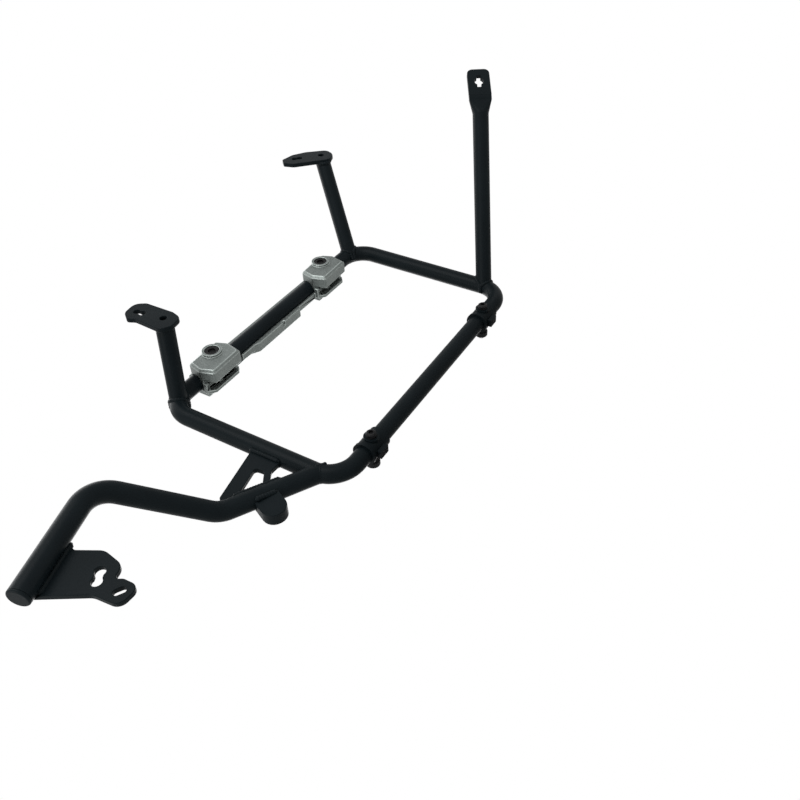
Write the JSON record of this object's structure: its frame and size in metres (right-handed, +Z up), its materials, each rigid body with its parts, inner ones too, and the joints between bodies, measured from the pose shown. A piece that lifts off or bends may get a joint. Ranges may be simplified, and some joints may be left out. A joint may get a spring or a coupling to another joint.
{
  "type": "pannier frame",
  "caption": "Motorbike side pannier frame: black bent-tube loop with a bolted lower bar, struts to the bike, a cranked lower arm and a cast aluminium case adapter.",
  "frame": {"origin": "middle of the front upper plate's two-position slot, on the plate's bearing face", "axes": "+X forward along the motorbike, +Y inward to the motorbike, +Z up"},
  "size_m": [0.7052, 0.23, 0.3188],
  "materials": {
    "black_coat": "satin",
    "cast_alloy": "satin",
    "black_screw": "satin"
  },
  "bodies": {
    "root": {"u_tube": "black_coat", "lower_bar": "black_coat", "rear_sleeve": "black_coat", "front_sleeve": "black_coat", "coupling_bolts": "black_screw", "thumb_nuts": "black_screw", "rear_upper_strut": "black_coat", "rear_upper_plate": "black_coat", "front_upper_strut": "black_coat", "front_upper_plate": "black_coat", "rear_lower_strut": "black_coat", "lower_arm": "black_coat", "arm_end_cap": "black_coat", "arm_plate": "black_coat", "gusset": "black_coat", "stop": "black_coat", "adapter_rail": "cast_alloy", "rear_clamp_block": "cast_alloy", "front_clamp_block": "cast_alloy", "adapter_screws": "black_screw", "sleeve_nuts": "black_screw"}
  },
  "joints": []
}
